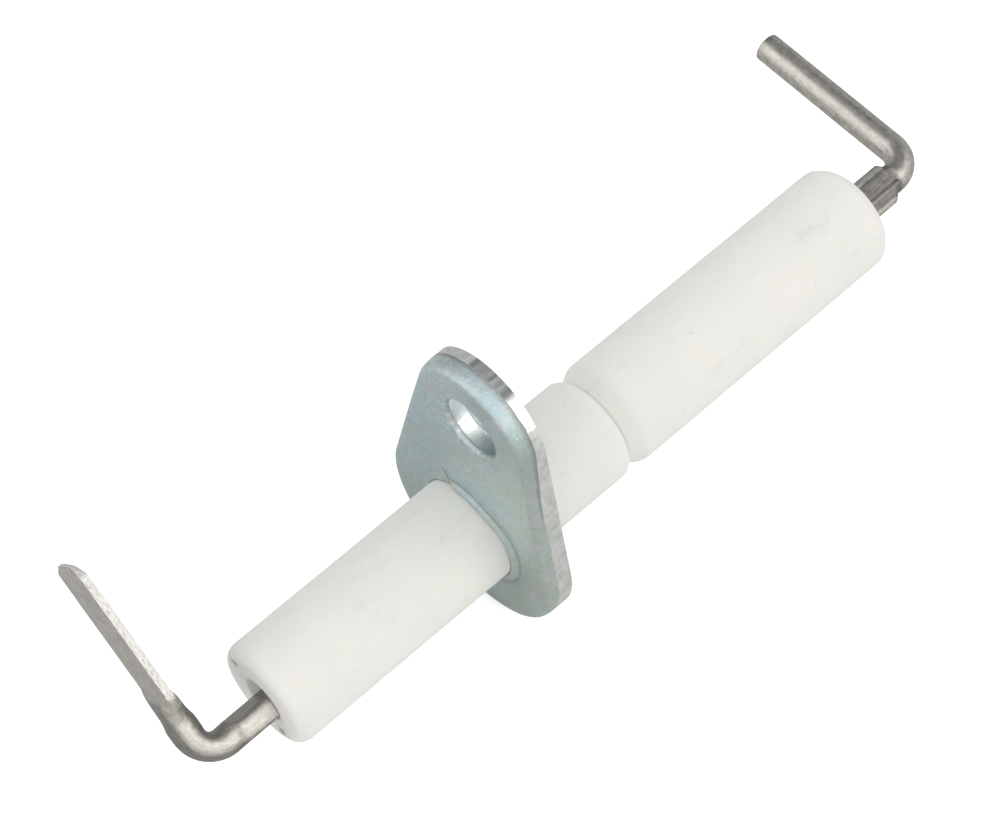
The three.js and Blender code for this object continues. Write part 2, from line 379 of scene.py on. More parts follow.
def floor_material():
    """White paper, lit up to the camera and a little greyer in the metal's reflections."""
    n = Nodes("floor_paper")
    place = n.node("ShaderNodeTexCoord").outputs["Object"]
    path = n.node("ShaderNodeLightPath")
    seen = path.outputs["Is Camera Ray"]
    glossy = path.outputs["Is Glossy Ray"]
    tone = n.noise(place, 60.0, 3.0)
    base = n.mix(n.spread(tone, 0.0, 1.0), colour(0.93, 0.93, 0.93), colour(0.95, 0.95, 0.95))
    base = n.mix(glossy, base, colour(0.66, 0.66, 0.65))
    return n.finish(
        Base_Color=base,
        Roughness=0.9,
        Specular_IOR_Level=0.1,
        Emission_Color=colour(1.0, 1.0, 1.0),
        Emission_Strength=n.times(seen, 0.5),
    )


# ---- ceramic tubes -------------------------------------------------------------------------

BORE_RADIUS = 2.25
TUBE_SIDES = 144
# How far each corner of a tube's outline is rounded, from its start's bore to its end's bore.
CORNER_SOFTNESS = (0.15, 0.4, 0.45, 0.4, 0.35, 0.15)
CHIP_DEPTH = 0.15


def rounded_corner(before, corner, after, softness):
    """Points round one corner of an (x, radius) outline, from a softness before it to after."""
    steps = 5
    before, corner, after = Vector(before), Vector(corner), Vector(after)
    start = corner + (before - corner).normalized() * softness
    end = corner + (after - corner).normalized() * softness
    return [
        start * (1 - t) ** 2 + corner * 2 * t * (1 - t) + end * t * t
        for t in [step / steps for step in range(steps + 1)]
    ]


def subdivided(points, longest, longest_on_face):
    """The points with more put between any two that are far apart, most on the end faces."""
    result = [points[0]]
    for first, second in zip(points, points[1:]):
        limit = longest_on_face if abs(second.x - first.x) < 0.01 else longest
        pieces = max(1, ceil((second - first).length / limit))
        result += [first.lerp(second, (i + 1) / pieces) for i in range(pieces)]
    return result


def tube_profile(radius, start, start_edge, end, end_edge):
    """The closed outline of a bored tube's wall as (x, radius) points, its edges softened."""
    corners = [
        (start, BORE_RADIUS),
        (start, radius - start_edge[1]),
        (start + start_edge[0], radius),
        (end - end_edge[0], radius),
        (end, radius - end_edge[1]),
        (end, BORE_RADIUS),
    ]
    following = corners[1:] + corners[:1]
    outline = []
    for i, softness in enumerate(CORNER_SOFTNESS):
        outline += rounded_corner(corners[i - 1], corners[i], following[i], softness)
    outline.append(outline[0])
    return subdivided(outline, longest=1.5, longest_on_face=0.2)[:-1]


def chipped(x, y, z, pits):
    """(dent, dark, rubbed) shares of a place: in a chip's dent, its dark floor, its surround.

    Each pit is (x, angle in degrees, radius, size) of a chip.
    """
    dent, dark, rubbed = 0, 0, 0
    for pit_x, pit_angle, pit_radius, size in pits:
        pit_y = pit_radius * cos(radians(pit_angle))
        pit_z = pit_radius * sin(radians(pit_angle))
        away = hypot(x - pit_x, y - pit_y, z - pit_z) / size
        dent = max(dent, smooth(1 - away))
        dark = max(dark, smooth(1.2 - away))
        rubbed = max(rubbed, smooth(1 - away / 5))
    return dent, dark, rubbed


def swelling(x, y, z, from_end):
    """How far the skin stands out from a true cylinder: never above 0, and uneven at the ends."""
    swell = 0.015 * rough(x * 0.15, y * 0.3, z * 0.3) - 0.015
    uneven = 0.02 * rough(x * 0.9, y * 0.9, z * 0.9, 2) - 0.02
    return swell + uneven * smooth(1 - from_end / 2)


def tube_piece(name, node, material, radius, start, start_edge, end, end_edge, pits):
    """A ceramic tube, each of its ends with an edge (length, depth) and with chips at the pits."""
    profile = tube_profile(radius, start, start_edge, end, end_edge)
    points, places, marks, rows = [], [], [], []
    for x, r in profile:
        row = []
        for side in range(TUBE_SIDES):
            angle = side / TUBE_SIDES * 2 * pi
            y, z = r * cos(angle), r * sin(angle)
            dent, dark, rubbed = chipped(x, y, z, pits)
            push = 0
            if r > BORE_RADIUS + 0.3:
                from_end = min(abs(x - start), abs(x - end))
                push = (swelling(x, y, z, from_end) - dent * 0.12) / r
            inward = dent * CHIP_DEPTH * (1 if x < (start + end) / 2 else -1)
            row.append(len(points))
            points.append((x + inward, y * (1 + push), z * (1 + push)))
            places.append((x, y, z))
            # The third mark picks out the bore, which the ceramic gives a faint painted glow.
            inner = smooth((BORE_RADIUS + 0.25 - r) / 0.2) * smooth((x - start) / 0.5 + 0.5)
            marks.append((dark, rubbed, inner))
        rows.append(row)
    faces = []
    for i, row in enumerate(rows):
        faces += bridge(row, rows[(i + 1) % len(rows)])
    mesh_piece(name, points, faces, node, material, places, marks)


# ---- mounting flange -----------------------------------------------------------------------

BASE_RADIUS, BASE_HEIGHT = 10.595, -0.5
TIP_RADIUS, TIP_HEIGHT = 6.9, 18.3
SCREW_RADIUS, SCREW_HEIGHT = 3.2, 18.2
TUBE_GAP = 0.03
# How far the rolled edges reach into the front face, and the screw hole's from top to bottom.
EDGE_ROLL = 0.8
RIM_ROLL = 0.5
RIM_TOP, RIM_BOTTOM = 0.17, 0.64
BREAK_OUT_WIDTH, BREAK_OUT_DEPTH = 0.25, 0.7
SEAT_RIM = 0.06
COLLAR_FOOT, COLLAR_CREST, COLLAR_INNER = 6.5, 5.85, 5.66
COLLAR_SWEEP = radians(250)
TICK_ANGLE = radians(64)
RIPPLED_ANGLE = radians(190)
DISH_RADIUS = 4.5

# How finely the flange's faces are divided, in mm.
LOOP_STEP = 0.3
HOLE_STEP = 0.2
GRID_STEP = 0.45
SLIVER_AREA = 0.0002
# Radii of the rings of points that carry the collar and the ripples round the tube.
COLLAR_RINGS = (
    5.58, 5.64, 5.7, 5.78, 5.86, 5.94, 6.02, 6.1, 6.18, 6.26, 6.34, 6.42, 6.5, 6.58, 6.68,
    6.8, 6.95, 7.05, 7.15, 7.3, 7.5, 7.7, 7.9, 8.1, 8.4,
)
# How far outside the screw hole's rim, and inside the outline's roll, more rings lie.
SCREW_RINGS = (0.25, 0.5, 0.8, 1.2)
ROLL_RINGS = (0.25, 0.6)


def outline_loop(inset):
    """The flange's egg-shaped outline, drawn in by inset, as (y, z) points."""
    rise = TIP_HEIGHT - BASE_HEIGHT
    lean = asin((BASE_RADIUS - TIP_RADIUS) / rise)
    straight = sqrt(rise ** 2 - (BASE_RADIUS - TIP_RADIUS) ** 2)
    tip_steps = ceil(TIP_RADIUS * (pi - 2 * lean) / LOOP_STEP)
    base_steps = ceil(BASE_RADIUS * (pi + 2 * lean) / LOOP_STEP)
    side_steps = ceil(straight / LOOP_STEP)

    def arc(height, radius, first, last, steps):
        return [
            (radius * cos(angle), height + radius * sin(angle))
            for angle in [lerp(first, last, i / steps) for i in range(steps)]
        ]

    def line(start, end):
        return [
            (lerp(start[0], end[0], i / side_steps), lerp(start[1], end[1], i / side_steps))
            for i in range(side_steps)
        ]

    tip = TIP_RADIUS - inset
    base = BASE_RADIUS - inset
    right_tip = (tip * cos(lean), TIP_HEIGHT + tip * sin(lean))
    right_base = (base * cos(lean), BASE_HEIGHT + base * sin(lean))
    left_tip = (-right_tip[0], right_tip[1])
    left_base = (-right_base[0], right_base[1])
    return (
        arc(TIP_HEIGHT, tip, lean, pi - lean, tip_steps)
        + line(left_tip, left_base)
        + arc(BASE_HEIGHT, base, pi - lean, 2 * pi + lean, base_steps)
        + line(right_base, right_tip)
    )


def circle_loop(radius, height, steps=None):
    """(y, z) points of a circle, as many as its size needs unless the steps are given."""
    steps = steps or ceil(2 * pi * radius / HOLE_STEP)
    return [
        (radius * cos(i / steps * 2 * pi), height + radius * sin(i / steps * 2 * pi))
        for i in range(steps)
    ]


def roll_levels(steps):
    """(inset, depth) shares down a rolled edge, from its face to its wall."""
    turns = [i / steps * pi / 2 for i in range(1, steps + 1)]
    return [(1 - sin(turn), (1 - cos(turn)) ** 1.5) for turn in turns]


def edge_roll_depth(y, z):
    """How deep the outline is rolled over: most round the tip, with an uneven limit."""
    deepest = smooth((z - 12) / 10)
    return lerp(1.2, 1.85, deepest) + 0.05 * rough(y * 1.3, z * 1.3, 0, 15)


def angle_gap(first, second):
    """How far apart two directions are, in radians."""
    return abs((first - second + pi) % (2 * pi) - pi)


def pressed(y, z):
    """(depth, marks) of the face at a place: the collar, its ripples and the tick mark.

    The collar stands up sharply at the tick, runs on round the tube and fades out before it
    comes back to the tick. Two ripples lie outside it on one side, and a shallow dish lies
    round the screw hole.
    """
    radius = hypot(y, z)
    angle = atan2(z, y)
    past_tick = (angle - TICK_ANGLE) % (2 * pi)
    raised = smooth(past_tick / 0.12) * smooth((COLLAR_SWEEP - past_tick) / 0.6)
    raised = lerp(0.12, 1, raised)
    collar = COLLAR_HEIGHT * 0.95 * raised * smooth((COLLAR_FOOT - radius) / 0.7)
    collar *= 1 - 0.3 * smooth((COLLAR_INNER - radius) / 0.12)
    foot = raised * smooth(1 - abs(radius - COLLAR_FOOT) / 0.3)
    painted_crest_highlight = raised * smooth(1 - abs(radius - COLLAR_CREST) / 0.28)
    rippled = smooth((cos(angle - RIPPLED_ANGLE) - 0.2) / 0.5)
    ripple = 0.16 * smooth((8.2 - radius) / 0.7) + 0.1 * smooth((7.3 - radius) / 0.35)
    off_tick = angle_gap(angle, TICK_ANGLE) * radius
    tick = smooth(1 - off_tick / 0.26) * smooth((7.9 - radius) / 0.6)
    dish = 0.12 * smooth((DISH_RADIUS - hypot(y, z - SCREW_HEIGHT)) / 0.9)
    wave = 0.02 * rough(y * 0.25, z * 0.25, 0, 3)
    depth = 0.05 * foot - collar + rippled * ripple + 0.12 * tick + dish + wave + 0.02
    # Painted shade in the collar's foot and in the gap round the tube, darker in the tick mark, and
    # a painted highlight on the collar's crest.
    dirt_and_painted_shade = max(0.4 * foot, 0.75 * tick, 0.9 * smooth((5.64 - radius) / 0.1))
    return depth, (0.0, dirt_and_painted_shade, 0.2 * painted_crest_highlight)


def wall_marks(y, z):
    """The sheared wall's marks: a torn dark patch and a burnished length round the tip."""
    angle = atan2(z - TIP_HEIGHT, y)
    jagged = 0.06 * rough(y * 2.1, z * 2.1, 0, 12)
    torn = smooth((0.36 - angle_gap(angle + jagged, radians(94))) / 0.06)
    rubbed = smooth((0.28 - angle_gap(angle + jagged, radians(129))) / 0.05)
    rubbed += 0.6 * smooth(1 - abs(z - 15.9) / 1.2) + 0.5 * smooth(1 - abs(z - 6.9) / 1.5)
    speckle = 0.75 + 0.6 * rough(y * 4, z * 4, 0, 13)
    return (1.0, torn * speckle, 0.8 * rubbed * (1 - torn))


def faces_on_plate(points, faces, holes):
    """The faces that aren't in a hole, and aren't slivers along a straight side."""
    kept = []
    for face in faces:
        first, second, third = (points[i] for i in face)
        area = abs((second - first).cross(third - first)) / 2
        in_hole = any(hole.issuperset(face) for hole in holes)
        if area > SLIVER_AREA and not in_hole:
            kept.append(face)
    return kept


def free_points():
    """(y, z) points inside the front face: rings round its features, and a grid between them."""
    rings = []
    for radius in COLLAR_RINGS:
        rings += circle_loop(radius, 0)
    for extra in SCREW_RINGS:
        rings += circle_loop(SCREW_RADIUS + RIM_ROLL + extra, SCREW_HEIGHT)
    for extra in ROLL_RINGS:
        rings += outline_loop(EDGE_ROLL + extra)
    clear = GRID_STEP * 0.7
    grid = [
        (-11 + i * GRID_STEP + (j % 2) * GRID_STEP / 2, -12 + j * GRID_STEP * 0.87)
        for i in range(int(22 / GRID_STEP) + 1)
        for j in range(int(45 / GRID_STEP))
    ]
    grid = [
        (y, z) for y, z in grid
        if hypot(y, z) > max(COLLAR_RINGS) + clear
        and hypot(y, z - SCREW_HEIGHT) > SCREW_RADIUS + RIM_ROLL + max(SCREW_RINGS) + clear
        and edge_distance(y, z) > EDGE_ROLL + max(ROLL_RINGS) + clear
    ]
    return [(y, z) for y, z in rings if edge_distance(y, z) > EDGE_ROLL + 0.12] + grid


def meshed(loops, free):
    """Triangles between closed loops of points, the first round all of it, the others holes.

    It gives the points, the faces, and for each given point its number in the points.
    """
    given = [Vector(point) for loop in loops for point in loop] + [Vector(point) for point in free]
    edges = []
    first = 0
    for loop in loops:
        row = list(range(first, first + len(loop)))
        edges += zip(row, row[1:] + row[:1])
        first += len(loop)
    points, _, faces, sources, _, _ = delaunay_2d_cdt(given, edges, [], 0, 1e-6)
    number = {}
    for index, own in enumerate(sources):
        for source in own:
            number[source] = index
    holes = []
    first = len(loops[0])
    for loop in loops[1:]:
        holes.append({number[first + i] for i in range(len(loop))})
        first += len(loop)
    return points, faces_on_plate(points, faces, holes), number


def edge_distance(y, z):
    """How far a place lies inside the flange's outline."""
    rise = TIP_HEIGHT - BASE_HEIGHT
    share = (z - BASE_HEIGHT) / rise
    slope = (BASE_RADIUS - TIP_RADIUS) / rise
    share += abs(y) / rise * slope / sqrt(1 - slope * slope)
    share = min(max(share, 0), 1)
    radius = lerp(BASE_RADIUS, TIP_RADIUS, share)
    return radius - hypot(y, z - lerp(BASE_HEIGHT, TIP_HEIGHT, share))


PLAIN = (0.0, 0.0, 0.0)
# Painted shade in the seam under the screw hole's rim.
PAINTED_SHADE_SEAM = (0.3, 0.6, 0.0)


def edge_seam_marks(y, z):
    """The line between the roll and the sheared wall: painted shade, dark round the tip, faint
    below.
    """
    return (0.3, lerp(0.1, 0.7, smooth((z - 9) / 6)), 0.0)


def rim_marks(y, z):
    """The screw hole's rolled rim: on its lower side painted shade, with painted highlights in
    rough specks.
    """
    highlight_speck = smooth((rough(y * 2.2, z * 2.2, 0, 14) - 0.1) / 0.35)
    low = smooth((cos(atan2(z - SCREW_HEIGHT, y) + radians(80)) + 0.1) / 0.6)
    return (0.3 * low, 0.2 * low * (1 - highlight_speck), 0.4 * low * highlight_speck)


def bore_marks(y, z):
    """The screw hole's wall: a painted highlight on one side, also smoother there, and painted
    shade on the other.
    """
    angle = atan2(z - SCREW_HEIGHT, y)
    burnished = smooth((cos(angle + radians(15)) + 0.2) / 0.7)
    # Painted highlight on the burnished side, painted shade on the other.
    return (0.0, 0.35 * (1 - burnished), 0.95 * burnished)


def break_out_marks(y, z):
    """The torn end of the screw hole's wall, at the seat."""
    return (0.5, 0.35 + 0.3 * rough(y * 3, z * 3, 0, 16), 0.2)


def rolled(share):
    """The depth a share of the way down the outline's roll, for each place."""
    return lambda y, z: lerp(0.04, edge_roll_depth(y, z), share)


def sheared(share):
    """The depth a share of the way down the outline's sheared wall, for each place."""
    return lambda y, z: lerp(edge_roll_depth(y, z), PLATE_THICKNESS, share)


def outline_levels():
    """(loop, depth, marks) down the outline: its roll, its sheared wall and its rim at the seat."""
    levels = [
        (outline_loop(inset * EDGE_ROLL), rolled(share), PLAIN if share < 0.99 else edge_seam_marks)
        for inset, share in roll_levels(8)
    ]
    levels.append((outline_loop(0), sheared(0.04), edge_seam_marks))
    for share in (0.1, 0.3, 0.55, 0.8, 0.95):
        levels.append((outline_loop(0), sheared(share), wall_marks))
    levels.append((outline_loop(0.08), PLATE_THICKNESS, wall_marks))
    levels.append((outline_loop(0.16), PLATE_THICKNESS, PLAIN))
    return levels


def tube_hole_levels():
    """(loop, depth, marks) down the hole for the tube, which the tube hides."""
    loop = circle_loop(TUBE_RADIUS + TUBE_GAP, 0)
    return [(loop, 1.2, PLAIN), (loop, PLATE_THICKNESS, PLAIN)]


def screw_hole_levels(steps):
    """(loop, depth, marks) down the screw hole: its rolled rim, its wall and its torn end."""
    break_out = PLATE_THICKNESS - BREAK_OUT_DEPTH
    levels = [
        (inset * RIM_ROLL, lerp(RIM_TOP, RIM_BOTTOM, share), rim_marks)
        for inset, share in roll_levels(5)
    ]
    levels += [
        (0, 0.68, PAINTED_SHADE_SEAM),
        (0, 0.76, bore_marks),
        (0, 1.5, bore_marks),
        (0, break_out - 0.15, bore_marks),
        (0, break_out, break_out_marks),
        (BREAK_OUT_WIDTH, PLATE_THICKNESS, break_out_marks),
        (BREAK_OUT_WIDTH + SEAT_RIM, PLATE_THICKNESS, PLAIN),
    ]
    return [
        (circle_loop(SCREW_RADIUS + wider, SCREW_HEIGHT, steps), depth, mark)
        for wider, depth, mark in levels
    ]


def flange_piece(material):
    """The plate: its pressed front face, the walls of its outline and holes, and its flat seat."""
    front = -PLATE_THICKNESS
    edges = [
        outline_loop(EDGE_ROLL),
        circle_loop(TUBE_RADIUS + TUBE_GAP, 0),
        circle_loop(SCREW_RADIUS + RIM_ROLL, SCREW_HEIGHT),
    ]
    flat, faces, number = meshed(edges, free_points())
    points, marks = [], []
    for y, z in flat:
        depth, mark = pressed(y, z)
        points.append((front + depth, y, z))
        marks.append(mark)

    def add_loop(loop, depth, mark):
        """Add a loop at a depth behind the front; either value may be a function of (y, z)."""
        first = len(points)
        for y, z in loop:
            points.append((front + (depth(y, z) if callable(depth) else depth), y, z))
            marks.append(mark(y, z) if callable(mark) else mark)
        return list(range(first, first + len(loop)))

    walls = [outline_levels(), tube_hole_levels(), screw_hole_levels(len(edges[2]))]
    seat = []
    first = 0
    for edge, levels in zip(edges, walls):
        row = [number[first + i] for i in range(len(edge))]
        first += len(edge)
        for loop, depth, mark in levels:
            wall = add_loop(loop, depth, mark)
            faces += bridge(row, wall)
            row = wall
        seat.append(row)

    # The flat seat face closes the three walls.
    _, back, number = meshed([[points[i][1:] for i in row] for row in seat], [])
    on_seat = {number[given]: i for given, i in enumerate([i for row in seat for i in row])}
    faces += [tuple(on_seat[i] for i in face) for face in back]
    mesh_piece("flange_plate", points, faces, "mounting_flange", material,
               points, marks)


# ---- electrode rod -------------------------------------------------------------------------

ROD_RADIUS = 1.495
TAB_HALF_WIDTH = 3.15
TAB_HALF_THICKNESS = 0.4
TAB_TIP_HALF_THICKNESS = 0.24
TAB_CORNER = 1.2
# Where each leg leaves the run, which way it points and how sharply it is bent.
TERMINAL_LEG_X, BURNER_LEG_X = -35.65, 55.95
TERMINAL_LEG_ANGLE, BURNER_LEG_ANGLE = radians(39), radians(-1)
TERMINAL_BEND, BURNER_BEND = 2.8, 2.6
# How far from its leg's corner each of these lies.
TAB_TIP, TAB_ROOT, ROUND_FROM = 21.5, 7.6, 3.9
SPARK_TIP = 19.8
# The run lies off the bore's axis, this way, and this far at its two ends.
RUN_ANGLE = radians(204)
RUN_OFFSET = (0.68, 0.2)
# The lengths pinched at the terminal end and at the burner end, and how they start.
PINCH_LENGTH = (4.2, 5.6)
PINCH_RAMP = 0.9
FACE_GAP = 0.05
# The side of the burner pinch that carries a painted highlight.
HIGHLIGHT_FIN = radians(129)
# The sides of the round wire that carry its painted shade band and its painted highlight bands.
PAINTED_SHADE_SIDE = Vector((-0.1, 0.07, 0.99)).normalized()
PAINTED_HIGHLIGHT_SIDE = Vector((-0.52, -0.55, 0.65)).normalized()
TERMINAL_HIGHLIGHT_SIDE = Vector((-0.14, -0.63, 0.77)).normalized()
# A section ring's points: along each flat, closest near its ends, and round each corner.
FLAT_SHARES = (0, 0.4, 0.65, 0.8, 0.88, 0.94)
ARC_STEPS = 12
EDGE_CORNER = 0.1


def across_axis(angle):
    """Unit vector square to X, turned from +Y towards +Z."""
    return Vector((0, cos(angle), sin(angle)))


def section_ring(side, up, corner, fin=0.0, twist=0.0):
    """(side, up) points of a rounded rectangle whose corners may carry fins."""
    steps = [(0, share) for share in FLAT_SHARES]
    steps += [(i / ARC_STEPS, 1) for i in range(ARC_STEPS + 1)]
    steps += [(1, share) for share in reversed(FLAT_SHARES[1:])]
    ring = []
    for quarter in range(4):
        flip = quarter % 2
        for turn_share, flat_share in steps:
            turn = turn_share * pi / 2
            reach = corner + fin * sin(2 * turn) ** 8
            half_side, half_up = (up, side) if flip else (side, up)
            a, b = half_side - corner, half_up - corner
            if turn_share == 0:
                b *= flat_share
            if turn_share == 1:
                a *= flat_share
            x, y = a + reach * cos(turn), b + reach * sin(turn)
            spin = quarter * pi / 2 + twist
            ring.append((x * cos(spin) - y * sin(spin), x * sin(spin) + y * cos(spin)))
    return ring


def oval_ring(side, up):
    """(side, up) points of an oval, one for each point of a section_ring."""
    count = 4 * (2 * len(FLAT_SHARES) + ARC_STEPS)
    return [(side * cos(i / count * 2 * pi), up * sin(i / count * 2 * pi)) for i in range(count)]


ROUND = oval_ring(ROD_RADIUS, ROD_RADIUS)
BURNER_PINCH = section_ring(
    1.2, 1.2, 0.45, 0.65, TERMINAL_LEG_ANGLE - BURNER_LEG_ANGLE - pi / 4)


def mix_rings(first, second, share):
    """The ring a share of the way from first to second."""
    return [
        (lerp(a[0], b[0], share), lerp(a[1], b[1], share)) for a, b in zip(first, second)
    ]


TERMINAL_PINCH = mix_rings(ROUND, section_ring(1.95, 1.05, 0.45), 0.75)


def run_centre(x):
    """The rod's centre at x, where it lies off the axis inside the bore."""
    share = (x - TERMINAL_END) / (BURNER_END - TERMINAL_END)
    centre = across_axis(RUN_ANGLE) * lerp(*RUN_OFFSET, share)
    centre.x = x
    return centre


def tab_stations(corner, leg, side):
    """The pressed tab, from its chamfered tip down to the round wire."""
    stations = []

    def add(distance, ring, blade):
        stations.append((corner + leg * distance, -leg, side, ring, blade))

    tip_steps = 6
    for i in range(tip_steps):
        share = i / tip_steps
        cut = TAB_CORNER * (1 - share) ** 1.4
        thin = lerp(TAB_TIP_HALF_THICKNESS, TAB_HALF_THICKNESS, smooth(share * 1.4))
        ring = section_ring(TAB_HALF_WIDTH - cut, thin, EDGE_CORNER)
        add(TAB_TIP - TAB_CORNER * share, ring, 1.0)
    straight = int((TAB_TIP - TAB_CORNER - TAB_ROOT) / 0.2)
    for i in range(straight):
        distance = lerp(TAB_TIP - TAB_CORNER, TAB_ROOT, i / straight)
        wave = 0.05 * rough(distance * 0.8, 0, 0, 4) + 0.03 * rough(distance * 3, 0, 0, 5) - 0.05
        thin = TAB_HALF_THICKNESS - 0.02 + 0.02 * rough(distance * 0.3, 1, 0, 6)
        add(distance, section_ring(TAB_HALF_WIDTH + wave, thin, EDGE_CORNER), 1.0)
    ramp_steps = 14
    for i in range(ramp_steps + 1):
        share = i / ramp_steps
        grown = smooth(share)
        half_side = lerp(TAB_HALF_WIDTH, ROD_RADIUS, grown)
        half_up = lerp(TAB_HALF_THICKNESS, ROD_RADIUS, share ** 0.8)
        corner_radius = min(EDGE_CORNER + 1.4 * sqrt(grown), half_up * 0.98)
        flat_ring = section_ring(half_side, half_up, corner_radius)
        ring = mix_rings(flat_ring, oval_ring(half_side, half_up), grown * grown)
        add(lerp(TAB_ROOT, ROUND_FROM, share), ring, 1 - smooth(share * 3))
    return stations


def bend_stations(corner, enter, leave, radius, side, crease):
    """A bend whose inner side is creased: its ring's inner half is drawn in at mid-bend."""
    steps = 18
    centre = corner - enter * radius + leave * radius
    stations = []
    for i in range(steps + 1):
        turn = i / steps * pi / 2
        along = enter * cos(turn) + leave * sin(turn)
        spoke = enter * sin(turn) - leave * cos(turn)
        inner = 1 - crease * sin(2 * turn) ** 2
        ring = [(a, b if b > 0 else b * inner) for a, b in ROUND]
        stations.append((centre + spoke * radius, along, side, ring, 0.0))
    return stations


def run_stations(side_from, side_to):
    """The straight run through the insulator, with its pinched ends."""
    stations = []
    pinched_from = TERMINAL_END - FACE_GAP
    pinched_to = BURNER_END + FACE_GAP

    def add(x, ring):
        share = min(max((x - TERMINAL_END) / (BURNER_END - TERMINAL_END), 0), 1)
        side = across_axis(lerp(side_from, side_to, share))
        stations.append((run_centre(x), Vector((1, 0, 0)), side, ring, 0.0))

    ramp_steps = 8
    for i in range(ramp_steps + 1):
        share = i / ramp_steps
        x = pinched_from - PINCH_LENGTH[0] + PINCH_RAMP * share
        add(x, mix_rings(ROUND, TERMINAL_PINCH, smooth(share)))
    add(pinched_from, TERMINAL_PINCH)
    inside_steps = 24
    for i in range(inside_steps + 1):
        add(lerp(pinched_from + FACE_GAP / 2, pinched_to - FACE_GAP / 2, i / inside_steps), ROUND)
    flat_steps = 10
    for i in range(flat_steps):
        x = lerp(pinched_to, pinched_to + PINCH_LENGTH[1] - PINCH_RAMP, i / flat_steps)
        add(x, BURNER_PINCH)
    for i in range(ramp_steps + 1):
        share = i / ramp_steps
        x = pinched_to + PINCH_LENGTH[1] - PINCH_RAMP * (1 - share)
        add(x, mix_rings(BURNER_PINCH, ROUND, smooth(share)))
    return stations


def spark_stations(corner, leg, side):
    """The burner leg, down to its plain-cut tip."""
    stations = []
    steps = 24
    for i in range(1, steps + 1):
        distance = lerp(BURNER_BEND, SPARK_TIP - 0.2, i / steps)
        stations.append((corner + leg * distance, leg, side, ROUND, 0.0))
    for shrink, distance in ((0.04, 0.1), (0.12, 0.03), (0.25, 0.0)):
        ring = oval_ring(ROD_RADIUS - shrink, ROD_RADIUS - shrink)
        stations.append((corner + leg * (SPARK_TIP - distance), leg, side, ring, 0.0))
    return stations


def cap(points, places, marks, row, centre, place):
    """The faces of a cap over an end ring: a smaller ring, then a fan to its centre."""
    first = len(points)
    for index in row:
        points.append(tuple(Vector(points[index]).lerp(centre, 0.2)))
        places.append(places[index])
        marks.append(marks[index])
    ring = list(range(first, first + len(row)))
    middle = len(points)
    points.append(tuple(centre))
    places.append(place)
    marks.append(marks[row[0]])
    faces = bridge(row, ring)
    count = len(ring)
    faces += [(ring[i], ring[(i + 1) % count], middle) for i in range(count)]
    return faces


def wire_bands(outward, x):
    """(shade, highlight) of the round wire's skin: a painted dark band and a painted highlight band
    along the wire, set by which way the skin faces.

    On the terminal's side it has a painted highlight in one band and painted shade everywhere else.
    """
    if x < JOINT:
        aligned = outward.dot(TERMINAL_HIGHLIGHT_SIDE)
        return 0.72 * smooth((0.95 - aligned) / 0.15), 0.3 * smooth((aligned - 0.88) / 0.1)
    painted_shade_band = 0.6 * smooth((outward.dot(PAINTED_SHADE_SIDE) - 0.9) / 0.09)
    return painted_shade_band, 0.45 * smooth((outward.dot(PAINTED_HIGHLIGHT_SIDE) - 0.74) / 0.1)


def in_pinch(centre, along):
    """How far a station is inside the burner end's pinch, from 0 to 1."""
    if along.x < 0.99:
        return 0
    after_start = centre.x - BURNER_END
    before_end = BURNER_END + PINCH_LENGTH[1] - centre.x
    return smooth(after_start / 0.1) * smooth((before_end + 0.3) / 0.3)


def pinch_marks(point, reach):
    """(shade, highlight) of a place in the pinch: painted shade in its hollows, on one side and in
    the pocket at its end, and a painted highlight on one fin.

    The reach is how far the place lies from the middle of the wire.
    """
    towards_fin = point.y * cos(HIGHLIGHT_FIN) + point.z * sin(HIGHLIGHT_FIN)
    beside_fin = point.y * sin(HIGHLIGHT_FIN) - point.z * cos(HIGHLIGHT_FIN)
    hollow_shade = 0.3 * (1 - smooth((reach - 1.5) / 0.3))
    # Painted shade in the hollows and on the side beside the highlighted fin.
    dirt_and_painted_shade = hollow_shade + 0.9 * smooth(beside_fin - 0.7)
    burnish_and_painted_highlight = 0.8 * smooth((reach - 1.95) / 0.12) * (towards_fin > 0.9)
    # Painted shadow in the pocket where the pinch ends.
    if reach < 1.7:
        end_pocket_shade = smooth(1 - abs(point.x - BURNER_END - PINCH_LENGTH[1] + 0.35) / 0.7)
        dirt_and_painted_shade = max(dirt_and_painted_shade, 0.9 * end_pocket_shade)
    return dirt_and_painted_shade, burnish_and_painted_highlight


def rod_stations():
    """(centre, along, side, ring, blade) of each section, from the tab's tip to the spark tip.

    The blade is 1 on the pressed tab and 0 on the round wire.
    """
    forward = Vector((1, 0, 0))
    terminal_leg = across_axis(TERMINAL_LEG_ANGLE)
    burner_leg = across_axis(BURNER_LEG_ANGLE)
    terminal_side = across_axis(TERMINAL_LEG_ANGLE + pi / 2)
    burner_side = across_axis(BURNER_LEG_ANGLE + pi / 2)
    terminal_corner = run_centre(TERMINAL_LEG_X)
    burner_corner = run_centre(BURNER_LEG_X)
    return (
        tab_stations(terminal_corner, terminal_leg, terminal_side)
        + bend_stations(terminal_corner, -terminal_leg, forward, TERMINAL_BEND, terminal_side, 0.2)
        + run_stations(TERMINAL_LEG_ANGLE + pi / 2, BURNER_LEG_ANGLE + pi / 2)
        + bend_stations(burner_corner, forward, burner_leg, BURNER_BEND, burner_side, 0.05)
        + spark_stations(burner_corner, burner_leg, burner_side)
    )


